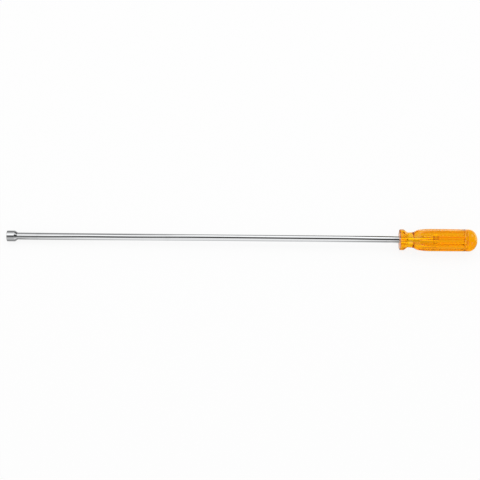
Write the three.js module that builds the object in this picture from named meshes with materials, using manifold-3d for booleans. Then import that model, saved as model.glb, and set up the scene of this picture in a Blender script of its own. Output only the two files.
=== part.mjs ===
// Long-reach magnetic pick-up tool: a magnet tip on a slim tube, carried by a fluted handle.
// Millimetres, +Z up. The tool lies along +X, and the centre of its working face is the origin.

import * as THREE from "three";
import { mergeVertices } from "three/addons/utils/BufferGeometryUtils.js";
import Module from "manifold-3d";

const wasm = await Module();
wasm.setup();

// Whole tool
const reach = 457; // working face to the front of the handle
const fit = 0.3; // gap between pieces that are pressed, screwed or moulded together

// Cup at the tip, with what it holds
const cupLength = 11.8;
const cupWall = 0.8;
const cupRounding = 0.6;
const cupConeLength = 2.6;
const cupLip = 0.4; // how far the small end of the cone stands out from the shaft
const magnetRadius = 4;
const magnetLength = 5;
const spacerWall = 0.8;
const backPlateThickness = 1.2;
const edgeBreak = 0.3; // chamfer on the magnet, the plates and the pin

// Screw from the cup into the plug behind it
const screwRadius = 1.5;
const screwLength = 12;
const screwHeadRadius = 2.6;
const screwHeadHeight = 1.3;
const driveSlotWidth = 0.8;
const driveSlotDepth = 0.6;
const tipPlugLength = 18;
const tapDepthSpare = 1; // tapped hole past the end of the screw

// Shaft
const shaftRadius = 4;
const shaftWall = 1;
const shaftChamfer = 0.25;
const shaftEmbedded = 38.5; // length of the shaft inside the handle

// Winged tang behind the shaft, which keeps the handle from turning
const tangPlugLength = 16;
const tangCoreRadius = 3.2;
const wingRadius = 4.8;
const wingLength = 6;
const wingThickness = 1.2;
const wingLead = 1.5; // slope at each end of a wing
const pinRadius = 1;
const pinFromShaftEnd = 8;

// Handle, with places along it measured from its front
const handleLength = 90.6;
const collarRadius = 12.1;
const collarWidth = 4.8;
const collarRounding = 0.9;
const neckRadius = 8.8;
const neckAt = 9.2;
const shoulderAt = 17;
const shoulderRise = 0.8; // growth of the neck by the foot of the shoulder
const shoulderTopAt = 21.3;
const shoulderTopDrop = 1.2; // shoulder top below the widest part of the grip
const gripRadius = 13;
const gripFullShare = 0.27; // of the grip's length, where it reaches its widest
const gripTaperShare = 0.57; // of the grip's length, where it starts to narrow again
const gripTaper = 0.15;
const grooveDepth = 0.35;
const grooveWidth = 1.2;
const bandWidth = 2.5; // smooth band between the groove and the dome
const domeRadius = 12.9;
const domeLength = 10.2;
const fluteCount = 8;
const fluteDepth = 1.3;
const landWidth = 2.2; // ridge left between two flutes
const scallopRadius = 6;
const scallopDepth = 1.1;

// Facets
const wideFacets = 56;
const slimFacets = 32;
const fluteFacets = 96;
const curveSteps = 5;

const cupRadius = magnetRadius + spacerWall + cupWall + 2 * fit;
const shaftStart = cupLength + fit;
const shaftEnd = reach + shaftEmbedded;
const boreRadius = shaftRadius - shaftWall;
const pocketRadius = cupRadius - cupWall;
const pocketDepth = magnetLength + backPlateThickness + 2 * fit;
const plugRadius = boreRadius - fit;
const tangStart = shaftEnd + fit;
const tangEnd = tangStart + wingLength;
const pinAt = shaftEnd - pinFromShaftEnd;
const fluteEndAt = handleLength - domeLength - bandWidth - grooveWidth;

const brightChrome = { color: 0xc9ccd0, roughness: 0.12, metalness: 1 };
const plainSteel = { color: 0x9a9ca0, roughness: 0.4, metalness: 1 };
const nickel = { color: 0xb9b6ac, roughness: 0.25, metalness: 1 };
const brass = { color: 0xc9a24a, roughness: 0.3, metalness: 1 };
const amber = { color: 0xf0a01c, roughness: 0.18, metalness: 0 };

// A turned solid along X from [distance along X, radius] points.
function turned(outline, facets) {
  const points = outline.map(([along, radius]) => new THREE.Vector2(radius, along));
  return new THREE.LatheGeometry(points, facets).rotateZ(-Math.PI / 2);
}

// A round bar along X from one place to another.
function roundBar(from, to, radius, facets = slimFacets) {
  return turned([[from, 0], [from, radius], [to, radius], [to, 0]], facets);
}

function solid(geometry) {
  const bare = geometry.clone();
  bare.deleteAttribute("normal");
  bare.deleteAttribute("uv");
  const merged = mergeVertices(bare, 1e-5);
  const vertProperties = new Float32Array(merged.attributes.position.array);
  const triVerts = new Uint32Array(merged.index.array);
  return new wasm.Manifold(new wasm.Mesh({ numProp: 3, vertProperties, triVerts }));
}

function geometryOf(manifold) {
  const { vertProperties, triVerts } = manifold.getMesh();
  const geometry = new THREE.BufferGeometry();
  geometry.setAttribute("position", new THREE.BufferAttribute(vertProperties, 3));
  geometry.setIndex(new THREE.BufferAttribute(triVerts, 1));
  geometry.computeVertexNormals();
  return geometry;
}

// The same cutter taken out once for each flute, all round the axis.
function cutRound(body, cutter) {
  let rest = body;
  for (let index = 0; index < fluteCount; index += 1) {
    const angle = (index * 2 * Math.PI) / fluteCount;
    rest = rest.subtract(solid(cutter.clone().rotateX(angle)));
  }
  return rest;
}

function piece(name, geometry, finish) {
  const mesh = new THREE.Mesh(geometry, new THREE.MeshStandardMaterial(finish));
  mesh.name = name;
  return mesh;
}

// Magnet cup: a rounded rim, a straight wall and a cone down to the shaft.
// Its floor is countersunk for the screw.
function tipCup() {
  const screwHole = screwRadius + fit;
  const rearRadius = shaftRadius + cupLip;
  const corner = cupRounding * Math.SQRT1_2;
  return turned([
    [0, pocketRadius],
    [0, cupRadius - cupRounding],
    [cupRounding - corner, cupRadius - cupRounding + corner],
    [cupRounding, cupRadius],
    [cupLength - cupConeLength, cupRadius],
    [cupLength, rearRadius],
    [cupLength, screwHole],
    [pocketDepth + screwHeadHeight, screwHole],
    [pocketDepth, screwHeadRadius + fit],
    [pocketDepth, pocketRadius],
    [0, pocketRadius],
  ], wideFacets);
}

function magnet() {
  return turned([
    [0, 0],
    [0, magnetRadius - edgeBreak],
    [edgeBreak, magnetRadius],
    [magnetLength, magnetRadius],
    [magnetLength, 0],
  ], slimFacets);
}

// Brass sleeve that keeps the magnet's field off the wall of the cup.
function spacerRing() {
  const inner = magnetRadius + fit;
  const outer = inner + spacerWall;
  return turned([
    [edgeBreak, inner],
    [edgeBreak, outer],
    [magnetLength, outer],
    [magnetLength, inner],
    [edgeBreak, inner],
  ], slimFacets);
}

function backPlate() {
  const front = magnetLength + fit;
  const back = front + backPlateThickness;
  const radius = pocketRadius - fit;
  return turned([
    [front, 0],
    [front, radius - edgeBreak],
    [front + edgeBreak, radius],
    [back, radius],
    [back, 0],
  ], slimFacets);
}

function cupScrew() {
  const bar = solid(turned([
    [pocketDepth, 0],
    [pocketDepth, screwHeadRadius],
    [pocketDepth + screwHeadHeight, screwRadius],
    [pocketDepth + screwLength - edgeBreak, screwRadius],
    [pocketDepth + screwLength, screwRadius - edgeBreak],
    [pocketDepth + screwLength, 0],
  ], slimFacets));
  const slot = new THREE.BoxGeometry(2 * driveSlotDepth, 4 * screwHeadRadius, driveSlotWidth);
  return geometryOf(bar.subtract(solid(slot.translate(pocketDepth, 0, 0))));
}

// Plug pressed into the front of the shaft, tapped for the screw.
function tipPlug() {
  const hole = screwRadius + fit;
  const holeEnd = pocketDepth + screwLength + tapDepthSpare;
  const end = shaftStart + tipPlugLength;
  return turned([
    [holeEnd, 0],
    [holeEnd, hole],
    [shaftStart, hole],
    [shaftStart, plugRadius],
    [end - edgeBreak, plugRadius],
    [end, plugRadius - edgeBreak],
    [end, 0],
  ], slimFacets);
}

function crossHole(radius) {
  return roundBar(-collarRadius, collarRadius, radius).rotateY(Math.PI / 2).translate(pinAt, 0, 0);
}

function shaftTube() {
  const tube = solid(turned([
    [shaftStart, boreRadius],
    [shaftStart, shaftRadius - shaftChamfer],
    [shaftStart + shaftChamfer, shaftRadius],
    [shaftEnd - shaftChamfer, shaftRadius],
    [shaftEnd, shaftRadius - shaftChamfer],
    [shaftEnd, boreRadius],
    [shaftStart, boreRadius],
  ], wideFacets));
  return geometryOf(tube.subtract(solid(crossHole(pinRadius + fit))));
}

// One flat plate across the axis, which makes two opposite wings. Room grows it on all sides.
function wingPlate(room) {
  const front = tangStart - room;
  const back = tangEnd + room;
  const radius = wingRadius + room;
  const foot = tangCoreRadius + room;
  const outline = new THREE.Shape();
  outline.moveTo(front, -foot);
  outline.lineTo(front + wingLead, -radius);
  outline.lineTo(back - wingLead, -radius);
  outline.lineTo(back, -foot);
  outline.lineTo(back, foot);
  outline.lineTo(back - wingLead, radius);
  outline.lineTo(front + wingLead, radius);
  outline.lineTo(front, foot);
  const thickness = wingThickness + 2 * room;
  const plate = new THREE.ExtrudeGeometry(outline, { depth: thickness, bevelEnabled: false });
  return plate.translate(0, 0, -thickness / 2);
}

// Two plates at right angles on a round core.
function wingedCore(room) {
  const core = solid(roundBar(tangStart - room, tangEnd + room, tangCoreRadius + room));
  const flat = solid(wingPlate(room));
  const upright = solid(wingPlate(room).rotateX(Math.PI / 2));
  return core.add(flat).add(upright);
}

function wingedTang() {
  const plug = solid(roundBar(shaftEnd - tangPlugLength, tangStart + wingLead, plugRadius));
  const whole = wingedCore(0).add(plug);
  return geometryOf(whole.subtract(solid(crossHole(pinRadius + fit))));
}

function tangPin() {
  const half = shaftRadius;
  const pin = turned([
    [-half, 0],
    [-half, pinRadius - edgeBreak],
    [edgeBreak - half, pinRadius],
    [half - edgeBreak, pinRadius],
    [half, pinRadius - edgeBreak],
    [half, 0],
  ], slimFacets);
  return pin.rotateY(Math.PI / 2).translate(pinAt, 0, 0);
}

// Outline of the handle before its flutes, as radius across and distance from its front along.
function handleOutline() {
  const shoulderFoot = neckRadius + shoulderRise;
  const shoulderTop = gripRadius - shoulderTopDrop;
  const fluteEndRadius = gripRadius - gripTaper;
  const gripLength = fluteEndAt - shoulderTopAt;
  const gripFullAt = shoulderTopAt + gripFullShare * gripLength;
  const gripTaperAt = shoulderTopAt + gripTaperShare * gripLength;
  const grooveBottom = fluteEndAt + grooveWidth / 2;
  const grooveEnd = fluteEndAt + grooveWidth;
  const collarEdge = collarRadius - collarRounding;
  const outline = new THREE.Path();
  outline.moveTo(collarEdge, 0);
  outline.quadraticCurveTo(collarRadius, 0, collarRadius, collarRounding);
  outline.lineTo(collarRadius, collarWidth);
  outline.lineTo(neckRadius, neckAt);
  const neckEase = (shoulderAt - neckAt) / 3;
  outline.quadraticCurveTo(
    neckRadius, neckAt + 2 * neckEase,
    shoulderFoot, shoulderAt,
  );
  const shoulderEase = (shoulderTopAt - shoulderAt) / 3;
  outline.bezierCurveTo(
    shoulderFoot + shoulderEase / 3, shoulderAt + shoulderEase / 2,
    shoulderTop - shoulderEase / 4, shoulderTopAt - shoulderEase,
    shoulderTop, shoulderTopAt,
  );
  outline.quadraticCurveTo(
    gripRadius, (shoulderTopAt + gripFullAt) / 2,
    gripRadius, gripFullAt,
  );
  outline.lineTo(gripRadius, gripTaperAt);
  outline.lineTo(fluteEndRadius, fluteEndAt);
  outline.lineTo(fluteEndRadius - grooveDepth, grooveBottom);
  outline.lineTo(domeRadius, grooveEnd);
  outline.absellipse(0, handleLength - domeLength, domeRadius, domeLength, 0, Math.PI / 2);
  const arc = outline.getPoints(curveSteps);
  arc.pop();
  const along = arc.map((point) => [reach + point.y, point.x]);
  return [[reach, 0], ...along, [reach + handleLength, 0]];
}

// A long round cutter whose nearest line to the axis lies at the given radius.
function grooveCutter(from, to, bottomRadius, cutterRadius, facets) {
  const bar = roundBar(from, to, cutterRadius, facets);
  return bar.translate(0, 0, bottomRadius + cutterRadius);
}

// A flute is as wide as the ridges between flutes leave it, so its radius follows from its depth.
function fluteCutter() {
  const halfAngle = Math.PI / fluteCount - landWidth / (2 * gripRadius);
  const halfWidth = gripRadius * Math.sin(halfAngle);
  const bottom = gripRadius - fluteDepth;
  const rise = gripRadius * Math.cos(halfAngle) - bottom;
  const radius = (halfWidth ** 2 + rise ** 2) / (2 * rise);
  return grooveCutter(reach + neckAt, reach + fluteEndAt, bottom, radius, fluteFacets);
}

function scallopCutter() {
  const past = reach + neckAt;
  return grooveCutter(reach - collarWidth, past, collarRadius - scallopDepth, scallopRadius, slimFacets);
}

function handle() {
  const blank = solid(turned(handleOutline(), wideFacets));
  const gripped = cutRound(cutRound(blank, fluteCutter()), scallopCutter());
  const bore = solid(roundBar(reach - collarWidth, shaftEnd + fit, shaftRadius + fit, wideFacets));
  return geometryOf(gripped.subtract(bore.add(wingedCore(fit))));
}

const tool = new THREE.Group();
tool.add(
  piece("tip_cup", tipCup(), brightChrome),
  piece("magnet", magnet(), nickel),
  piece("spacer_ring", spacerRing(), brass),
  piece("back_plate", backPlate(), plainSteel),
  piece("cup_screw", cupScrew(), plainSteel),
  piece("tip_plug", tipPlug(), plainSteel),
  piece("shaft_tube", shaftTube(), brightChrome),
  piece("winged_tang", wingedTang(), brightChrome),
  piece("tang_pin", tangPin(), brightChrome),
  piece("handle", handle(), amber),
);

export default tool;
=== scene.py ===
import math

import bmesh
import bpy
from mathutils import Matrix, Quaternion, Vector


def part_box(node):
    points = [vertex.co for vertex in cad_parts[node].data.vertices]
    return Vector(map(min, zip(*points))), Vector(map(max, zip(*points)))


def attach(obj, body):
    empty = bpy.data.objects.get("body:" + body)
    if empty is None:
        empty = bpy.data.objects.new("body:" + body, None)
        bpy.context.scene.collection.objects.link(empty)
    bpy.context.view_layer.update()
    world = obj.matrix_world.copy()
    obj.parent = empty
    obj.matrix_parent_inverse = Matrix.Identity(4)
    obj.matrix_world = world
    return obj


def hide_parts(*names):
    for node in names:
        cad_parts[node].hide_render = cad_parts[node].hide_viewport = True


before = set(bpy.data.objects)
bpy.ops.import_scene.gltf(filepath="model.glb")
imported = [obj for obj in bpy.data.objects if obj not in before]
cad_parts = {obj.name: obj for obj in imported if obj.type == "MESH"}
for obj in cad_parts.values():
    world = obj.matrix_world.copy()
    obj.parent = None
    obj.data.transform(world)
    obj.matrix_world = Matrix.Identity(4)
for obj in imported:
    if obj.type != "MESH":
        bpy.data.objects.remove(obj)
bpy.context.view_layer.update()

scene = bpy.context.scene
mm = 0.001

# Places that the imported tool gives, in millimetres
cupLow, cupHigh = [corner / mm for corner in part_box("tip_cup")]
shaftLow, shaftHigh = [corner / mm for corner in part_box("shaft_tube")]
handleLow, handleHigh = [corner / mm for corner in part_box("handle")]
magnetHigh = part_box("magnet")[1] / mm
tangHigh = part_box("winged_tang")[1] / mm

cupRadius = cupHigh.z
magnetRadius = magnetHigh.z
shaftRadius = shaftHigh.z
domeRadius = handleHigh.z
handleLength = handleHigh.x - handleLow.x


# Camera, looking down across the bench from the front
viewSetup = {
    "elevation": 58.5,  # degrees above the floor
    "distance": 1.4,
    "frameWidth": 0.5593,  # width of what is seen, at the tool
    "lean": 0.56,  # degrees that the handle end falls
    "aimAlong": 0.2712,
    "aimBelow": 0.0021,  # how far under the tool's axis the middle of the view lies
    "sensor": 36.0,
}


def addCamera(setup):
    rise = math.radians(setup["elevation"])
    back = Vector((0, -math.cos(rise), math.sin(rise)))
    up = Vector((0, math.sin(rise), math.cos(rise)))
    upright = Matrix((Vector((1, 0, 0)), up, back)).transposed().to_quaternion()
    data = bpy.data.cameras.new("benchCamera")
    data.sensor_width = setup["sensor"]
    data.lens = setup["sensor"] * setup["distance"] / setup["frameWidth"]
    camera = bpy.data.objects.new("benchCamera", data)
    aim = Vector((setup["aimAlong"], 0, 0)) - up * setup["aimBelow"]
    camera.location = aim + back * setup["distance"]
    camera.rotation_mode = "QUATERNION"
    camera.rotation_quaternion = upright @ Quaternion((0, 0, 1), math.radians(setup["lean"]))
    scene.collection.objects.link(camera)
    scene.camera = camera


addCamera(viewSetup)
print("camera placed")


def addNode(tree, kind, values=None, **settings):
    made = tree.nodes.new(kind)
    for name, value in settings.items():
        setattr(made, name, value)
    for name, value in (values or {}).items():
        made.inputs[name].default_value = value
    return made


def connect(tree, *pairs):
    for source, goal in pairs:
        tree.links.new(source, goal)


def maths(tree, operation, first, second=None):
    made = addNode(tree, "ShaderNodeMath", operation=operation)
    for socket, value in zip(made.inputs, (first, second)):
        if value is None:
            continue
        if isinstance(value, (int, float)):
            socket.default_value = value
        else:
            tree.links.new(value, socket)
    return made.outputs[0]


def rescale(tree, value, low, high, newLow, newHigh):
    made = addNode(tree, "ShaderNodeMapRange", interpolation_type="SMOOTHSTEP")
    made.inputs["From Min"].default_value = low
    made.inputs["From Max"].default_value = high
    made.inputs["To Min"].default_value = newLow
    made.inputs["To Max"].default_value = newHigh
    tree.links.new(value, made.inputs["Value"])
    return made.outputs["Result"]


def blend(tree, factor, first, second):
    mix = addNode(tree, "ShaderNodeMix", data_type="FLOAT")
    connect(tree, (factor, mix.inputs["Factor"]), (first, mix.inputs["A"]), (second, mix.inputs["B"]))
    return mix.outputs["Result"]


def levels(tree, value, stops):
    # a number read from (place, level) pairs, straight from each pair to the next
    places = [place for place, level in stops]
    brightest = max(level for place, level in stops)
    ramp = addNode(tree, "ShaderNodeValToRGB")
    made = ramp.color_ramp.elements
    while len(made) < len(stops):
        made.new(0.5)
    for stop, (place, level) in zip(made, stops):
        stop.position = (place - places[0]) / (places[-1] - places[0])
        grey = level / brightest
        stop.color = (grey, grey, grey, 1)
    shifted = maths(tree, "SUBTRACT", value, places[0])
    connect(tree, (maths(tree, "DIVIDE", shifted, places[-1] - places[0]), ramp.inputs[0]))
    return maths(tree, "MULTIPLY", ramp.outputs[0], brightest)


def newGroup(name, inputs, outputs):
    group = bpy.data.node_groups.new(name, "ShaderNodeTree")
    for label, value in inputs.items():
        socket = group.interface.new_socket(label, in_out="INPUT", socket_type="NodeSocketFloat")
        socket.default_value = value
    for label in outputs:
        group.interface.new_socket(label, in_out="OUTPUT", socket_type="NodeSocketFloat")
    return group, group.nodes.new("NodeGroupInput"), group.nodes.new("NodeGroupOutput")


def useGroup(tree, group, **values):
    made = addNode(tree, "ShaderNodeGroup")
    made.node_tree = group
    for name, value in values.items():
        made.inputs[name].default_value = value
    return made


def newMaterial(name):
    material = bpy.data.materials.new(name)
    material.use_nodes = True
    tree = material.node_tree
    tree.nodes.clear()
    surface = addNode(tree, "ShaderNodeBsdfPrincipled")
    result = addNode(tree, "ShaderNodeOutputMaterial")
    connect(tree, (surface.outputs[0], result.inputs["Surface"]))
    return material, tree, surface, result


# Effects that several finishes share

def makePolishMarks():
    # drawn-out noise: short along one way of the tool and long the other
    markFrom, markTo = 0.45, 0.7  # noise between which a mark sets in
    group, given, put = newGroup("polishMarks", {"Along": 4000, "Across": 60}, ("Height", "Mask"))
    place = addNode(group, "ShaderNodeTexCoord")
    spread = addNode(group, "ShaderNodeCombineXYZ")
    stretched = addNode(group, "ShaderNodeVectorMath", operation="MULTIPLY")
    noise = addNode(group, "ShaderNodeTexNoise", {"Scale": 1, "Detail": 3, "Roughness": 0.6})
    connect(
        group,
        (given.outputs["Along"], spread.inputs["X"]),
        (given.outputs["Across"], spread.inputs["Y"]),
        (given.outputs["Across"], spread.inputs["Z"]),
        (place.outputs["Object"], stretched.inputs[0]),
        (spread.outputs[0], stretched.inputs[1]),
        (stretched.outputs[0], noise.inputs["Vector"]),
        (noise.outputs["Fac"], put.inputs["Height"]),
        (rescale(group, noise.outputs["Fac"], markFrom, markTo, 0, 1), put.inputs["Mask"]),
    )
    return group


def makeHandSmudges():
    # soft cloudy patches left by handling, which set in at lower noise where there is more cover
    bareLimit, coverRange, softness = 0.75, 0.45, 0.22
    group, given, put = newGroup("handSmudges", {"Size": 120, "Cover": 0.5}, ("Mask",))
    place = addNode(group, "ShaderNodeTexCoord")
    noise = addNode(group, "ShaderNodeTexNoise", {"Detail": 4, "Roughness": 0.55, "Distortion": 0.6})
    covered = maths(group, "MULTIPLY", given.outputs["Cover"], coverRange)
    low = maths(group, "SUBTRACT", bareLimit, covered)
    above = maths(group, "SUBTRACT", noise.outputs["Fac"], low)
    connect(
        group,
        (place.outputs["Object"], noise.inputs["Vector"]),
        (given.outputs["Size"], noise.inputs["Scale"]),
        (rescale(group, above, 0, softness, 0, 1), put.inputs["Mask"]),
    )
    return group


scratchShape = {
    "sets": ((0.35, 0.05), (-0.6, 0.07), (1.3, 0.06)),  # turn in radians, and scale lengthwise
    "tilt": 0.7,  # share of the turn that leans a set sideways
    "lineWidth": 0.012,
    "patchScale": 90, "patchLimit": 0.8, "patchRange": 0.5, "patchEdge": 0.1,
}


def makeFineScratches():
    # thin random lines, the places where stretched noise crosses its middle value
    group, given, put = newGroup("fineScratches", {"Fineness": 900, "Share": 0.5}, ("Height", "Mask"))
    place = addNode(group, "ShaderNodeTexCoord")
    middle = 0.5
    lines = []
    for turn, stretch in scratchShape["sets"]:
        mapped = addNode(group, "ShaderNodeMapping")
        mapped.inputs["Rotation"].default_value = (turn, turn * scratchShape["tilt"], turn)
        mapped.inputs["Scale"].default_value = (stretch, 1, 1)
        noise = addNode(group, "ShaderNodeTexNoise", {"Detail": 2})
        connect(
            group,
            (place.outputs["Object"], mapped.inputs["Vector"]),
            (mapped.outputs[0], noise.inputs["Vector"]),
            (given.outputs["Fineness"], noise.inputs["Scale"]),
        )
        away = maths(group, "ABSOLUTE", maths(group, "SUBTRACT", noise.outputs["Fac"], middle))
        lines.append(rescale(group, away, 0, scratchShape["lineWidth"], 1, 0))
    both = maths(group, "MAXIMUM", maths(group, "MAXIMUM", lines[0], lines[1]), lines[2])
    patch = addNode(group, "ShaderNodeTexNoise", {"Scale": scratchShape["patchScale"], "Detail": 2})
    connect(group, (place.outputs["Object"], patch.inputs["Vector"]))
    lowered = maths(group, "MULTIPLY", given.outputs["Share"], scratchShape["patchRange"])
    limit = maths(group, "SUBTRACT", scratchShape["patchLimit"], lowered)
    above = maths(group, "SUBTRACT", patch.outputs["Fac"], limit)
    shown = rescale(group, above, 0, scratchShape["patchEdge"], 0, 1)
    mask = maths(group, "MULTIPLY", both, shown)
    connect(group, (mask, put.inputs["Mask"]), (maths(group, "MULTIPLY", mask, -1), put.inputs["Height"]))
    return group


rubShape = {
    "flatPointiness": 0.505,  # a surface more pointed than this stands proud
    "breakScale": 700, "breakShare": 0.8,  # the noise that breaks the rub up
}


def makeEdgeRub():
    # where corners stand proud: rubbed wear on the metal, and on the amber the mask for painted shade lines
    # along the flute ridges
    group, given, put = newGroup("edgeRubAndShade", {"Reach": 0.5, "Width": 0.1}, ("Mask",))
    shape = addNode(group, "ShaderNodeNewGeometry")
    place = addNode(group, "ShaderNodeTexCoord")
    noise = addNode(group, "ShaderNodeTexNoise", {"Scale": rubShape["breakScale"], "Detail": 3})
    connect(group, (place.outputs["Object"], noise.inputs["Vector"]))
    standing = maths(group, "SUBTRACT", shape.outputs["Pointiness"], rubShape["flatPointiness"])
    proud = rescale(group, maths(group, "DIVIDE", standing, given.outputs["Width"]), 0, 1, 0, 1)
    patchy = maths(group, "MULTIPLY", noise.outputs["Fac"], rubShape["breakShare"])
    broken = maths(group, "ADD", patchy, given.outputs["Reach"])
    connect(group, (maths(group, "MULTIPLY", proud, broken), put.inputs["Mask"]))
    return group


polishMarks = makePolishMarks()
handSmudges = makeHandSmudges()
fineScratches = makeFineScratches()
edgeRubAndShade = makeEdgeRub()


def tint(tree, mask, plain, marked):
    mix = addNode(tree, "ShaderNodeMix", data_type="RGBA")
    mix.inputs["A"].default_value = (*plain, 1)
    mix.inputs["B"].default_value = (*marked, 1)
    connect(tree, (mask, mix.inputs["Factor"]))
    return mix.outputs["Result"]


def bumpFrom(tree, height, strength, depth):
    bump = addNode(tree, "ShaderNodeBump", {"Strength": strength, "Distance": depth * mm})
    connect(tree, (height, bump.inputs["Height"]))
    return bump.outputs["Normal"]


# Metal finishes, and the wear that they all have
metalWear = {
    "scratchFineness": 700, "scratchShare": 0.35, "scratchRough": 0.15,
    "rubReach": 0.3, "rubWidth": 0.1, "bumpStrength": 0.25,
}
metalLooks = {
    "brightChrome": {
        "colour": (0.85, 0.86, 0.87), "smudged": (0.78, 0.79, 0.8),
        "rough": 0.03, "smudgeRough": 0.04, "markRough": 0.03,
        "marksAlong": 2600, "marksAcross": 45, "markDepth": 0.002,
        "smudgeSize": 45, "smudgeCover": 0.45,
    },
    "nickelPlate": {
        "colour": (0.72, 0.69, 0.63), "smudged": (0.55, 0.53, 0.49),
        "rough": 0.16, "smudgeRough": 0.2, "markRough": 0.2,
        "marksAlong": 900, "marksAcross": 2200, "markDepth": 0.006,
        "smudgeSize": 400, "smudgeCover": 0.6,
    },
    "turnedBrass": {
        "colour": (0.74, 0.53, 0.2), "smudged": (0.5, 0.34, 0.13),
        "rough": 0.24, "smudgeRough": 0.2, "markRough": 0.15,
        "marksAlong": 5000, "marksAcross": 700, "markDepth": 0.006,
        "smudgeSize": 500, "smudgeCover": 0.5,
    },
    "groundSteel": {
        "colour": (0.95, 0.94, 0.92), "smudged": (0.88, 0.87, 0.85),
        "rough": 0.16, "smudgeRough": 0.1, "markRough": 0.1,
        "marksAlong": 300, "marksAcross": 2000, "markDepth": 0.004,
        "smudgeSize": 200, "smudgeCover": 0.3,
    },
    "machinedSteel": {
        "colour": (0.72, 0.72, 0.73), "smudged": (0.55, 0.54, 0.52),
        "rough": 0.38, "smudgeRough": 0.2, "markRough": 0.15,
        "marksAlong": 3500, "marksAcross": 180, "markDepth": 0.01,
        "smudgeSize": 260, "smudgeCover": 0.5,
    },
}


def metalFinish(name):
    look = metalLooks[name]
    material, tree, surface = newMaterial(name)[:3]
    surface.inputs["Metallic"].default_value = 1
    marks = useGroup(tree, polishMarks, Along=look["marksAlong"], Across=look["marksAcross"])
    smudges = useGroup(tree, handSmudges, Size=look["smudgeSize"], Cover=look["smudgeCover"])
    scratches = useGroup(
        tree, fineScratches, Fineness=metalWear["scratchFineness"], Share=metalWear["scratchShare"])
    rub = useGroup(tree, edgeRubAndShade, Reach=metalWear["rubReach"], Width=metalWear["rubWidth"])
    dull = maths(tree, "MAXIMUM", smudges.outputs["Mask"], rub.outputs["Mask"])
    smudgeRough = maths(tree, "MULTIPLY", smudges.outputs["Mask"], look["smudgeRough"])
    markRough = maths(tree, "MULTIPLY", marks.outputs["Mask"], look["markRough"])
    scratchRough = maths(tree, "MULTIPLY", scratches.outputs["Mask"], metalWear["scratchRough"])
    rough = maths(tree, "ADD", look["rough"], maths(tree, "ADD", smudgeRough, markRough))
    height = maths(tree, "ADD", marks.outputs["Height"], scratches.outputs["Height"])
    connect(
        tree,
        (tint(tree, dull, look["colour"], look["smudged"]), surface.inputs["Base Color"]),
        (maths(tree, "ADD", rough, scratchRough), surface.inputs["Roughness"]),
        (bumpFrom(tree, height, metalWear["bumpStrength"], look["markDepth"]), surface.inputs["Normal"]),
    )
    return material


brightChrome = metalFinish("brightChrome")
nickelPlate = metalFinish("nickelPlate")
turnedBrass = metalFinish("turnedBrass")
groundSteel = metalFinish("groundSteel")
machinedSteel = metalFinish("machinedSteel")
print("metal finishes made")


amberLook = {
    "colour": (0.958, 0.625, 0.015),
    "aged": (0.958, 0.58, 0.012),
    "ridge": (0.85, 0.22, 0.005),  # painted shade: a darker orange along the flute ridges, where the edge mask falls
    "clearness": 0.94,  # the rest is the plastic's own soft haze
    "depthColour": (0.998, 0.9, 0.2),  # what the plastic lets through
    "depthDensity": 170,
    "rough": 0.06,
    "handledRough": 0.1,
    "bend": 1.48,
    "gloss": 0.12,
    "smudgeSize": 70, "smudgeCover": 0.55,
    "scratchFineness": 500, "scratchShare": 0.45, "scratchRough": 0.12,
    "marksAlong": 60, "marksAcross": 900, "markShare": 0.6,
    "rubReach": 0.5, "rubWidth": 0.012,
    "bumpStrength": 0.2, "bumpDepth": 0.02,
}


def amberFinish(look):
    material, tree, surface, result = newMaterial("clearAmber")
    surface.inputs["Transmission Weight"].default_value = look["clearness"]
    surface.inputs["IOR"].default_value = look["bend"]
    surface.inputs["Specular IOR Level"].default_value = look["gloss"]
    smudges = useGroup(tree, handSmudges, Size=look["smudgeSize"], Cover=look["smudgeCover"])
    scratches = useGroup(tree, fineScratches, Fineness=look["scratchFineness"], Share=look["scratchShare"])
    marks = useGroup(tree, polishMarks, Along=look["marksAlong"], Across=look["marksAcross"])
    rub = useGroup(tree, edgeRubAndShade, Reach=look["rubReach"], Width=look["rubWidth"])
    worn = maths(tree, "MAXIMUM", smudges.outputs["Mask"], rub.outputs["Mask"])
    handled = maths(tree, "MULTIPLY", worn, look["handledRough"])
    scratched = maths(tree, "MULTIPLY", scratches.outputs["Mask"], look["scratchRough"])
    rough = maths(tree, "ADD", look["rough"], maths(tree, "ADD", handled, scratched))
    softMarks = maths(tree, "MULTIPLY", marks.outputs["Height"], look["markShare"])
    height = maths(tree, "ADD", softMarks, scratches.outputs["Height"])
    depth = addNode(tree, "ShaderNodeVolumeAbsorption")
    depth.inputs["Color"].default_value = (*look["depthColour"], 1)
    depth.inputs["Density"].default_value = look["depthDensity"]
    # the flute ridges take the darker ridge colour: painted shade lines along them
    ridged = addNode(tree, "ShaderNodeMix", data_type="RGBA")
    ridged.inputs["B"].default_value = (*look["ridge"], 1)
    connect(
        tree,
        (tint(tree, smudges.outputs["Mask"], look["colour"], look["aged"]), ridged.inputs["A"]),
        (rub.outputs["Mask"], ridged.inputs["Factor"]),
        (ridged.outputs["Result"], surface.inputs["Base Color"]),
        (rough, surface.inputs["Roughness"]),
        (bumpFrom(tree, height, look["bumpStrength"], look["bumpDepth"]), surface.inputs["Normal"]),
        (depth.outputs[0], result.inputs["Volume"]),
    )
    return material


clearAmber = amberFinish(amberLook)
print("amber plastic made")


# Shapes turned on the tool's axis

def bezier(controls, steps):
    made = []
    for step in range(1, steps + 1):
        share = step / steps
        points = [Vector(point) for point in controls]
        while len(points) > 1:
            points = [a.lerp(b, share) for a, b in zip(points, points[1:])]
        made.append(tuple(points[0]))
    return made


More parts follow.
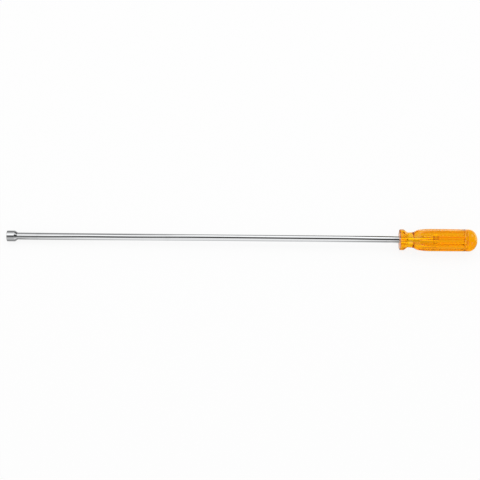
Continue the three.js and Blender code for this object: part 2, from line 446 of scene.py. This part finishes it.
def rounded(corners, steps=6, loop=False):
    # each corner is (along, radius, length of rounding)
    made = []
    for index, (along, radius, reach) in enumerate(corners):
        here = Vector((along, radius))
        last = not loop and index in (0, len(corners) - 1)
        if last or not reach:
            made.append((along, radius))
            continue
        before = Vector(corners[index - 1][:2])
        after = Vector(corners[(index + 1) % len(corners)][:2])
        start = here + (before - here).normalized() * reach
        end = here + (after - here).normalized() * reach
        made.append(tuple(start))
        made += bezier((start, here, end), steps)
    return made


def held(outline, near=0.3):
    # a point close to each end of a long straight run keeps its shading true between them
    made = [outline[0]]
    for start, end in zip(outline, outline[1:]):
        run = Vector(end) - Vector(start)
        if run.length > 4 * near:
            made.append(tuple(Vector(start) + run.normalized() * near))
            made.append(tuple(Vector(end) - run.normalized() * near))
        made.append(end)
    return made


def ringPiece(name, rings, segments, material, loop=False, sharpFrom=50):
    # each ring is (along, radius), where the radius may be a function of the angle from the top
    mesh = bpy.data.meshes.new(name)
    form = bmesh.new()
    circles = []
    for along, radius in rings:
        if radius == 0:
            circles.append([form.verts.new((along * mm, 0, 0))] * segments)
            continue
        circle = []
        for step in range(segments):
            angle = 2 * math.pi * step / segments
            out = radius(angle) if callable(radius) else radius
            across, up = out * math.sin(angle), out * math.cos(angle)
            circle.append(form.verts.new((along * mm, across * mm, up * mm)))
        circles.append(circle)
    pairs = list(zip(circles, circles[1:]))
    if loop:
        pairs.append((circles[-1], circles[0]))
    for near, far in pairs:
        for step in range(segments):
            following = (step + 1) % segments
            corners = [near[step], near[following], far[following], far[step]]
            form.faces.new(list(dict.fromkeys(corners)))
    bmesh.ops.recalc_face_normals(form, faces=form.faces)
    form.to_mesh(mesh)
    form.free()
    mesh.shade_smooth()
    mesh.set_sharp_from_angle(angle=math.radians(sharpFrom))
    mesh.materials.append(material)
    piece = bpy.data.objects.new(name, mesh)
    scene.collection.objects.link(piece)
    return piece


def standFor(piece, node):
    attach(piece, "root")
    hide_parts(node)


# The cup at the tip, and the magnet in it
cupShape = {
    "rimRounding": 0.55, "mouthRounding": 0.15,
    "wall": 0.8,
    "coneLength": 2.6, "coneRounding": 0.5,
    "coneLip": 0.35, "lipRounding": 0.2,  # the step from the cone's small end down to the shaft
    "pocketDepth": 6.8,
    "screwHole": 1.8,
    "segments": 128,
}

cupBack = cupHigh.x
pocketRadius = cupRadius - cupShape["wall"]
tipCup = ringPiece("tipCup", held(rounded([
    (0, pocketRadius, cupShape["mouthRounding"]),
    (0, cupRadius, cupShape["rimRounding"]),
    (cupBack - cupShape["coneLength"], cupRadius, cupShape["coneRounding"]),
    (cupBack, shaftRadius + cupShape["coneLip"], cupShape["lipRounding"]),
    (cupBack, cupShape["screwHole"], 0),
    (cupShape["pocketDepth"], cupShape["screwHole"], 0),
    (cupShape["pocketDepth"], pocketRadius, 0),
], loop=True)), cupShape["segments"], brightChrome, loop=True)
standFor(tipCup, "tip_cup")

magnetShape = {"faceRounding": 0.25, "backRounding": 0.1, "segments": 96}
magnetDisc = ringPiece("magnetDisc", held(rounded([
    (0, 0, 0),
    (0, magnetRadius, magnetShape["faceRounding"]),
    (magnetHigh.x, magnetRadius, magnetShape["backRounding"]),
    (magnetHigh.x, 0, 0),
])), magnetShape["segments"], nickelPlate)
standFor(magnetDisc, "magnet")

sleeveShape = {"setBack": 0.25, "play": 0.03, "rounding": 0.05, "segments": 96}
sleeveInside = magnetRadius + sleeveShape["play"]
sleeveOutside = pocketRadius - sleeveShape["play"]
sleeve = ringPiece("spacerSleeve", held(rounded([
    (sleeveShape["setBack"], sleeveInside, sleeveShape["rounding"]),
    (sleeveShape["setBack"], sleeveOutside, sleeveShape["rounding"]),
    (magnetHigh.x, sleeveOutside, 0),
    (magnetHigh.x, sleeveInside, 0),
], loop=True)), sleeveShape["segments"], turnedBrass, loop=True)
standFor(sleeve, "spacer_ring")
print("tip made")


shaftShape = {
    "bore": 3.0,
    "frontReach": 0.25,  # how far the tube runs on into the back of the cup
    "frontRounding": 0.1, "endRounding": 0.3, "boreRounding": 0.1,
    "segments": 128,
}

shaftFront = shaftLow.x - shaftShape["frontReach"]
shaft = ringPiece("shaftTube", held(rounded([
    (shaftFront, shaftShape["bore"], 0),
    (shaftFront, shaftRadius, shaftShape["frontRounding"]),
    (shaftHigh.x, shaftRadius, shaftShape["endRounding"]),
    (shaftHigh.x, shaftShape["bore"], shaftShape["boreRounding"]),
], loop=True)), shaftShape["segments"], brightChrome, loop=True)
standFor(shaft, "shaft_tube")

# Pieces that keep their own meshes, and get a finish
keptPieces = {
    "back_plate": machinedSteel, "cup_screw": machinedSteel, "tip_plug": machinedSteel,
    "winged_tang": groundSteel, "tang_pin": groundSteel,
}
for node, finish in keptPieces.items():
    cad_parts[node].data.materials.clear()
    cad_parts[node].data.materials.append(finish)
print("shaft made")


handleShape = {
    "collarRadius": 12.1, "collarWidth": 4.8, "collarRounding": 0.9, "collarEasing": 0.7,
    "neckRadius": 8.8, "neckAt": 9.2, "neckEasing": 0.5,
    "shoulderAt": 17.0, "shoulderRise": 0.8, "shoulderTopAt": 21.3, "shoulderTopDrop": 1.2,
    "gripRadius": 13.0, "gripFullShare": 0.27, "gripTaperShare": 0.57, "gripTaper": 0.15,
    "grooveDepth": 0.35, "grooveWidth": 1.2, "bandWidth": 2.5, "domeLength": 10.2,
    "fluteCount": 8, "fluteDepth": 1.3, "landWidth": 2.2, "fluteEndRun": 0.8,
    "scallopRadius": 6.0, "scallopDepth": 1.1,
    "softness": 0.15,  # how far the ridges between flutes are eased
    "press": 0.04,  # how tightly the plastic grips the metal inside it
    "wingThickness": 1.2, "wingLead": 1.5, "wingLength": 6.0, "tangCore": 3.2,
    "frontRings": (0.3, 0.6, 0.85),  # rings on the flat front, as shares of the way out from the shaft
    "boreSteps": 4, "cornerSteps": 8, "grooveSteps": 12, "domeSteps": 32, "segments": 256,
}

domeAt = handleLength - handleShape["domeLength"]
fluteEndAt = domeAt - handleShape["bandWidth"] - handleShape["grooveWidth"]
wingStart = tangHigh.x - handleShape["wingLength"]


def straight(start, end, steps):
    return bezier((start, end), steps)


def handleOutline(shape):
    # (distance from the front, radius) from the collar to the end of the dome
    collar, neck, grip = shape["collarRadius"], shape["neckRadius"], shape["gripRadius"]
    collarEnd = Vector((shape["collarWidth"], collar))
    neckAt, shoulderAt, topAt = shape["neckAt"], shape["shoulderAt"], shape["shoulderTopAt"]
    neckStart = Vector((neckAt, neck))
    downhill = (neckStart - collarEnd).normalized()
    onCollar, onNeck = shape["collarEasing"], shape["neckEasing"]
    ease = (topAt - shoulderAt) / 3
    foot = neck + shape["shoulderRise"]
    top = grip - shape["shoulderTopDrop"]
    length = fluteEndAt - topAt
    fullAt = topAt + shape["gripFullShare"] * length
    taperAt = topAt + shape["gripTaperShare"] * length
    endRadius = grip - shape["gripTaper"]
    made = [(0, collar)]
    for step in range(1, shape["cornerSteps"] + 1):
        turn = math.pi / 2 * step / shape["cornerSteps"]
        made.append((shape["collarRounding"] * (1 - math.cos(turn)), collar))
    made += straight(made[-1], collarEnd - Vector((onCollar, 0)), steps=6)
    made += bezier((made[-1], collarEnd, collarEnd + downhill * onCollar), steps=6)
    made += straight(made[-1], neckStart - downhill * onNeck, steps=8)
    made += bezier((made[-1], neckStart, neckStart + Vector((onNeck, 0))), steps=6)
    neckEnd = (neckAt + 2 * (shoulderAt - neckAt) / 3, neck)
    made += bezier((made[-1], neckEnd, (shoulderAt, foot)), steps=10)
    made += bezier((
        (shoulderAt, foot),
        (shoulderAt + ease / 2, foot + ease / 3),
        (topAt - ease, top - ease / 4),
        (topAt, top),
    ), steps=16)
    made += bezier(((topAt, top), ((topAt + fullAt) / 2, grip), (fullAt, grip)), steps=16)
    made += straight(made[-1], (taperAt, grip), steps=6)
    runAt = fluteEndAt - shape["fluteEndRun"]
    made += straight(made[-1], (runAt, endRadius), steps=12)
    made += straight(made[-1], (fluteEndAt, endRadius), steps=8)
    for step in range(1, shape["grooveSteps"] + 1):
        share = step / shape["grooveSteps"]
        level = endRadius + (domeRadius - endRadius) * share
        dip = shape["grooveDepth"] * (0.5 - 0.5 * math.cos(2 * math.pi * share))
        made.append((fluteEndAt + shape["grooveWidth"] * share, level - dip))
    made += straight(made[-1], (domeAt, domeRadius), steps=4)
    for step in range(1, shape["domeSteps"] + 1):
        turn = math.pi / 2 * step / shape["domeSteps"]
        radius = domeRadius * math.cos(turn) if step < shape["domeSteps"] else 0
        made.append((domeAt + shape["domeLength"] * math.sin(turn), radius))
    return made


def fluteArc(shape):
    # the middle and radius of the round cutter that leaves the chosen land between flutes
    grip = shape["gripRadius"]
    half = math.pi / shape["fluteCount"] - shape["landWidth"] / (2 * grip)
    width = grip * math.sin(half)
    bottom = grip - shape["fluteDepth"]
    rise = grip * math.cos(half) - bottom
    radius = (width ** 2 + rise ** 2) / (2 * rise)
    return bottom + radius, radius


def cutRadius(angle, middle, radius, count):
    # how far out a round cutter leaves the handle, at an angle from the cutter's middle
    pitch = 2 * math.pi / count
    turn = (angle + pitch / 2) % pitch - pitch / 2
    beside = middle * math.sin(turn)
    if abs(beside) >= radius:
        return 10 * middle  # beside the cutter, which takes nothing off there
    return middle * math.cos(turn) - math.sqrt(radius ** 2 - beside ** 2)


def softMin(first, second, softness):
    near = max(softness - abs(first - second), 0) / softness
    return min(first, second) - near * near * softness / 4


def smoothStep(share):
    share = min(max(share, 0), 1)
    return share * share * (3 - 2 * share)


def handleRadius(shape, along, outer):
    middle, radius = fluteArc(shape)
    lift = shape["fluteDepth"] * smoothStep((along - fluteEndAt) / shape["fluteEndRun"] + 1)
    scallopMiddle = shape["collarRadius"] - shape["scallopDepth"] + shape["scallopRadius"]
    corner = shape["collarRounding"]
    edge = max(corner - along, 0)
    drop = corner - math.sqrt(corner ** 2 - edge ** 2)

    def at(angle):
        if along > shape["neckAt"]:
            flute = cutRadius(angle, middle, radius, shape["fluteCount"])
            return softMin(outer, flute + lift, shape["softness"])
        scallop = cutRadius(angle, scallopMiddle, shape["scallopRadius"], shape["fluteCount"])
        return softMin(outer, scallop, shape["softness"]) - drop
    return at


def pocketAt(shape, along):
    # the hole in the plastic: round at the shaft, and cross-shaped where the wings bite
    almostNone = 0.001
    lead = shape["wingLead"]
    reach = tangHigh.z - shape["press"]
    core = shape["tangCore"] - shape["press"]
    inside = min(along - wingStart, tangHigh.x - along, lead) / lead
    wing = core + (reach - core) * inside
    half = shape["wingThickness"] / 2 - shape["press"]

    def at(angle):
        turn = (angle + math.pi / 4) % (math.pi / 2) - math.pi / 4
        side = half / max(abs(math.sin(turn)), almostNone)
        return max(core, min(side, wing / math.cos(turn)))
    return at


def makeHandle(shape):
    front = handleLow.x
    hole = shaftRadius - shape["press"]
    wingEnd = tangHigh.x - shape["press"]
    lead = shape["wingLead"]
    rings = [(wingEnd, 0)]
    for along in (wingEnd, wingEnd - lead, wingStart + lead, wingStart + shape["press"]):
        rings.append((along, pocketAt(shape, along)))
    rings += [(shaftHigh.x, shape["tangCore"] - shape["press"]), (shaftHigh.x, hole)]
    for step in range(1, shape["boreSteps"] + 1):
        rings.append((shaftHigh.x + (front - shaftHigh.x) * step / shape["boreSteps"], hole))
    edge = handleRadius(shape, 0, shape["collarRadius"])
    for share in shape["frontRings"]:
        rings.append((front, lambda angle, share=share: hole + (edge(angle) - hole) * share))
    for along, outer in handleOutline(shape):
        rings.append((front + along, handleRadius(shape, along, outer) if outer else 0))
    return ringPiece("flutedHandle", rings, shape["segments"], clearAmber)


flutedHandle = makeHandle(handleShape)
standFor(flutedHandle, "handle")
print("handle made")


# Painted reflection and painted light: the metal mirrors, and the amber shows, a floor and a sky of
# their own, with painted bands. Places on the floor are in millimetres along the tool or behind its axis,
# unless a note says otherwise.
bench = {
    "size": 40.0,
    "colour": (0.93, 0.93, 0.93),
    "lift": 0.88,  # how far the floor's shading is lightened towards white
    "fadeFrom": 0.45, "fadeTo": 1.1,  # metres from the tool's middle, where the floor turns plain white
    # painted reflection, with painted shade in its darker stretches: brightness of each strip as the metal
    # mirrors it, against the share of the tool's length
    "before": (
        (0, 0.5), (0.025, 0.5), (0.04, 0.8), (0.1, 0.92), (0.3, 0.92), (0.43, 0.75), (0.65, 0.68),
        (0.8, 0.3), (0.83, 0.3), (0.85, 0.15), (1, 0.15),
    ),
    "near": (
        (0, 0.28), (0.025, 0.28), (0.045, 0.42), (0.15, 0.45), (0.43, 0.6), (0.65, 0.8), (0.83, 0.78),
        (0.85, 0.25), (1, 0.25),
    ),
    "under": (
        (0, 0.3), (0.06, 0.32), (0.11, 0.45), (0.25, 0.9), (0.45, 1.2), (0.82, 1.1), (0.85, 0.15),
        (1, 0.15),
    ),
    "behind": (
        (0, 0.25), (0.14, 0.42), (0.3, 0.35), (0.5, 0.36), (0.6, 0.16), (0.7, 0.03), (0.825, 0.03),
        (0.829, 0.9), (0.85, 1.1), (1, 1.1),
    ),
    "farBehind": (
        (0, 0.25), (0.14, 0.42), (0.3, 0.35), (0.5, 0.36), (0.6, 0.16), (0.7, 0.03), (0.84, 0.03),
        (0.855, 1.35), (1, 1.35),
    ),
    # from where each strip sets in to where it stands alone
    "strips": {"near": (-28, -10), "under": (-10, -6), "behind": (2.5, 4.5), "farBehind": (12, 22)},
    "paintedWarmTint": (1.0, 0.9, 0.62),  # painted warm reflection of the floor beside the amber, from one such share to another
    "warmFrom": 0.83, "warmTo": 0.85,
    # painted light: brightness of the floor as seen through the amber, against the place behind the tool
    "throughAmber": (
        (-100, 1.05), (-30, 1.15), (-15, 1.12), (-3, 1.06), (0, 0.96), (3, 0.97), (5, 1.14), (8, 1.02),
        (13, 0.94), (17, 1.1), (26, 1.35), (45, 1.05), (60, 1.0), (100, 1.1),
    ),
    # painted light: the amber light that falls in bands on the floor under the handle, and its strength
    # across them
    "glow": (1.0, 0.6, 0.42),
    "glowBands": (
        (-30, 0.8), (-12, 0.72), (-9, 0.28), (-3, 0.24), (0, 0.4), (2.5, 0.4), (3.3, 0.95), (4.1, 0.95),
        (4.5, 0), (6, 0), (6.6, 0.52), (7.4, 0.52), (7.9, 0.14), (9.1, 0.08), (9.7, 0.36), (13, 0.36),
        (17, 0), (30, 0),
    ),
    "glowFrom": 462, "glowTo": 486,
    # painted light: how much lighter the floor in front looks through the collar and the waist
    "glint": 0.65, "glintFrom": -12, "glintTo": -22, "glintUntil": 481, "glintGone": 486,
    "rimShade": 0.55, "rimFrom": 541, "rimTo": 546,  # painted shade: how dark the floor past the dome looks
}


def addFloor(setup):
    # the tool lies on the rim of its cup and on its dome, so the floor runs from one to the other
    slope = (handleLow.z - cupLow.z) / (handleLow.x + domeAt - cupLow.x)
    mesh = bpy.data.meshes.new("benchTop")
    half = setup["size"] / 2
    flat = ((-half, -half), (half, -half), (half, half), (-half, half))
    corners = [(x, y, cupLow.z * mm + slope * x) for x, y in flat]
    mesh.from_pydata(corners, [], [(0, 1, 2, 3)])
    floor = bpy.data.objects.new("benchTop", mesh)
    scene.collection.objects.link(floor)
    mesh.materials.append(floorFinish(setup))


def either(tree, factor, first, second):
    mix = addNode(tree, "ShaderNodeMixShader")
    connect(tree, (factor, mix.inputs[0]), (first, mix.inputs[1]), (second, mix.inputs[2]))
    return mix.outputs[0]


def blendedLevels(tree, value, other, setup, first, blends):
    # levels for one value, which pass from list to list as the other value grows
    made = levels(tree, value, setup[first])
    for name, (start, end) in blends.items():
        share = rescale(tree, other, start, end, 0, 1)
        made = blend(tree, share, made, levels(tree, value, setup[name]))
    return made


def paintedFloorThroughAmber(tree, along, behind, setup):
    # painted light and painted shade of the floor as seen through the amber: lighter in front of the collar
    # and waist, darker past the dome
    glint = rescale(tree, along, setup["glintUntil"], setup["glintGone"], setup["glint"], 0)
    inFront = rescale(tree, behind, setup["glintTo"], setup["glintFrom"], 1, 0)
    lighter = maths(tree, "ADD", maths(tree, "MULTIPLY", glint, inFront), 1)
    level = maths(tree, "MULTIPLY", levels(tree, behind, setup["throughAmber"]), lighter)
    rim = rescale(tree, along, setup["rimFrom"], setup["rimTo"], 1, setup["rimShade"])
    return maths(tree, "MULTIPLY", level, rim)


def floorFinish(setup):
    material = bpy.data.materials.new("paleBench")
    material.use_nodes = True
    tree = material.node_tree
    tree.nodes.clear()
    rays = addNode(tree, "ShaderNodeLightPath")
    place = addNode(tree, "ShaderNodeTexCoord")
    sides = addNode(tree, "ShaderNodeSeparateXYZ")
    moved = addNode(tree, "ShaderNodeVectorMath", operation="DISTANCE")
    moved.inputs[1].default_value = (handleHigh.x / 2 * mm, 0, 0)
    matt = addNode(tree, "ShaderNodeBsdfDiffuse", {"Color": (*setup["colour"], 1)})
    bright = addNode(tree, "ShaderNodeEmission", {"Strength": 1})
    # the second and third emissions are painted: a painted reflection for glossy rays, and painted light
    # for rays through the amber
    paintedReflection = addNode(tree, "ShaderNodeEmission")
    paintedThrough = addNode(tree, "ShaderNodeEmission")
    result = addNode(tree, "ShaderNodeOutputMaterial")
    connect(
        tree,
        (place.outputs["Object"], moved.inputs[0]),
        (place.outputs["Object"], sides.inputs[0]),
    )
    share = maths(tree, "DIVIDE", sides.outputs["X"], handleHigh.x * mm)
    along = maths(tree, "DIVIDE", sides.outputs["X"], mm)
    behind = maths(tree, "DIVIDE", sides.outputs["Y"], mm)
    warm = rescale(tree, share, setup["warmFrom"], setup["warmTo"], 0, 1)
    # painted amber light in bands on the floor under the handle, seen only through the amber
    setIn = rescale(tree, along, setup["glowFrom"], setup["glowTo"], 0, 1)
    lit = maths(tree, "MULTIPLY", levels(tree, behind, setup["glowBands"]), setIn)
    connect(
        tree,
        (blendedLevels(tree, share, behind, setup, "before", setup["strips"]), paintedReflection.inputs["Strength"]),
        (tint(tree, warm, (1, 1, 1), setup["paintedWarmTint"]), paintedReflection.inputs["Color"]),
        (paintedFloorThroughAmber(tree, along, behind, setup), paintedThrough.inputs["Strength"]),
        (tint(tree, lit, (1, 1, 1), setup["glow"]), paintedThrough.inputs["Color"]),
    )
    far = rescale(tree, moved.outputs["Value"], setup["fadeFrom"], setup["fadeTo"], setup["lift"], 1)
    plain = maths(tree, "MULTIPLY", far, rays.outputs["Is Camera Ray"])
    shown = either(tree, plain, matt.outputs[0], bright.outputs[0])
    # glossy rays see the painted reflection of the floor
    shown = either(tree, rays.outputs["Is Glossy Ray"], shown, paintedReflection.outputs[0])
    shown = either(tree, rays.outputs["Is Transmission Ray"], shown, paintedThrough.outputs[0])
    connect(tree, (shown, result.inputs["Surface"]))
    return material


addFloor(bench)


# Painted reflection and painted light: each sky lists degrees over from the front of the bench, and
# brightness; the metal mirrors those that are at a place along the tool, and one shines through the amber
sky = {
    "atTip": (
        (0, 0.6), (12, 0.5), (20, 0.38), (37, 0.37), (43, 0.05), (65, 0.05), (71, 0.6), (78, 1.05),
        (88, 1.2), (100, 1.1), (114, 0.92), (128, 0.55), (150, 0.35), (158, 0.28), (180, 0.18),
    ),
    "atQuarter": (
        (0, 0.95), (26, 1), (36, 0.06), (77, 0.05), (91, 1.2), (119, 1.15), (129, 0.5), (140, 0.32),
        (165, 0.25), (180, 0.2),
    ),
    "atMiddle": (
        (0, 0.92), (20, 1.0), (46, 0.92), (55, 0.06), (93, 0.05), (102, 0.55), (110, 1.2),
        (130, 1.25), (146, 1.15), (158, 0.7), (168, 0.45), (180, 0.32),
    ),
    "atHandle": (
        (0, 0.82), (20, 0.88), (37, 0.88), (42, 0.03), (74, 0.03), (86, 0.22), (98, 0.5),
        (107, 1.3), (112, 1.75), (133, 1.75), (140, 0.3), (146, 0.03), (180, 0.02),
    ),
    "atGrip": (
        (0, 0.1), (40, 0.06), (75, 0.06), (95, 0.14), (120, 0.16), (140, 0.1), (165, 0.12), (180, 0.4),
    ),
    "throughAmber": (
        (0, 1.4), (7, 1.2), (14, 0.82), (35, 0.86), (50, 0.98), (58, 1.08), (68, 1.15), (76, 1.5),
        (84, 2.2), (101, 2.2), (108, 1.35), (117, 0.95), (130, 0.85), (145, 0.78), (154, 1.3), (180, 1.4),
    ),
    "paintedAmberTint": (1.0, 0.85, 0.6),
    # sideways part of a mirrored direction, from where each sky sets in to where it stands alone
    "blends": {"atQuarter": (-0.16, -0.12), "atMiddle": (-0.105, -0.02), "atHandle": (0.085, 0.12)},
    # the same, and how much of the sky at the grip it sees
    "gripShare": ((-1, 0), (0.131, 0), (0.135, 1), (0.42, 1), (0.55, 0.1), (1, 0.1)),
    # the same, and how much of the sky is left towards the two ends of the bench
    "sideShare": ((-1, 0.45), (-0.95, 0.45), (-0.7, 1), (0.6, 1), (0.9, 0.18), (1, 0.18)),
    "ambient": 0.8,
}


def skyPart(tree, colour, strength=1):
    return addNode(tree, "ShaderNodeBackground", {"Color": (*colour, 1), "Strength": strength})


def addSky(setup):
    world = bpy.data.worlds.new("studio")
    scene.world = world
    world.use_nodes = True
    tree = world.node_tree
    tree.nodes.clear()
    rays = addNode(tree, "ShaderNodeLightPath")
    place = addNode(tree, "ShaderNodeTexCoord")
    parts = addNode(tree, "ShaderNodeSeparateXYZ")
    connect(tree, (place.outputs["Generated"], parts.inputs[0]))
    forward = maths(tree, "MULTIPLY", parts.outputs["Y"], -1)
    over = maths(tree, "ARCTAN2", parts.outputs["Z"], forward)
    degrees = maths(tree, "MULTIPLY", over, 180 / math.pi)
    paintedSkyInMetal = blendedLevels(tree, degrees, parts.outputs["X"], setup, "atTip", setup["blends"])
    gripShare = levels(tree, parts.outputs["X"], setup["gripShare"])
    paintedSkyInMetal = blend(tree, gripShare, paintedSkyInMetal, levels(tree, degrees, setup["atGrip"]))
    aside = levels(tree, parts.outputs["X"], setup["sideShare"])
    # the bands that the metal mirrors and the amber shows are painted reflection and painted light; only
    # the ambient part lights surfaces
    ambient = skyPart(tree, (1, 1, 1), setup["ambient"])
    plain = skyPart(tree, (1, 1, 1))
    paintedReflection = skyPart(tree, (1, 1, 1))
    paintedThrough = skyPart(tree, setup["paintedAmberTint"])
    connect(
        tree,
        (maths(tree, "MULTIPLY", paintedSkyInMetal, aside), paintedReflection.inputs["Strength"]),
        (levels(tree, degrees, setup["throughAmber"]), paintedThrough.inputs["Strength"]),
    )
    lit = either(tree, rays.outputs["Is Glossy Ray"], ambient.outputs[0], paintedReflection.outputs[0])
    lit = either(tree, rays.outputs["Is Transmission Ray"], lit, paintedThrough.outputs[0])
    shown = either(tree, rays.outputs["Is Camera Ray"], lit, plain.outputs[0])
    result = addNode(tree, "ShaderNodeOutputWorld")
    connect(tree, (shown, result.inputs["Surface"]))


addSky(sky)


lamps = {
    "overheadSoftbox": {"at": (0.27, 0.45, 1.2), "size": (1.6, 1.0), "power": 4.0},
}


def addLamps(setup):
    for name, lamp in setup.items():
        data = bpy.data.lights.new(name, "AREA")
        data.shape = "RECTANGLE"
        data.size, data.size_y = lamp["size"]
        data.energy = lamp["power"]
        made = bpy.data.objects.new(name, data)
        made.visible_glossy = made.visible_transmission = False
        made.location = lamp["at"]
        towards = Vector((handleHigh.x / 2 * mm, 0, 0)) - made.location
        made.rotation_euler = towards.to_track_quat("-Z", "Y").to_euler()
        scene.collection.objects.link(made)


addLamps(lamps)
scene.view_settings.view_transform = "Standard"
print("floor, sky and lamps made")
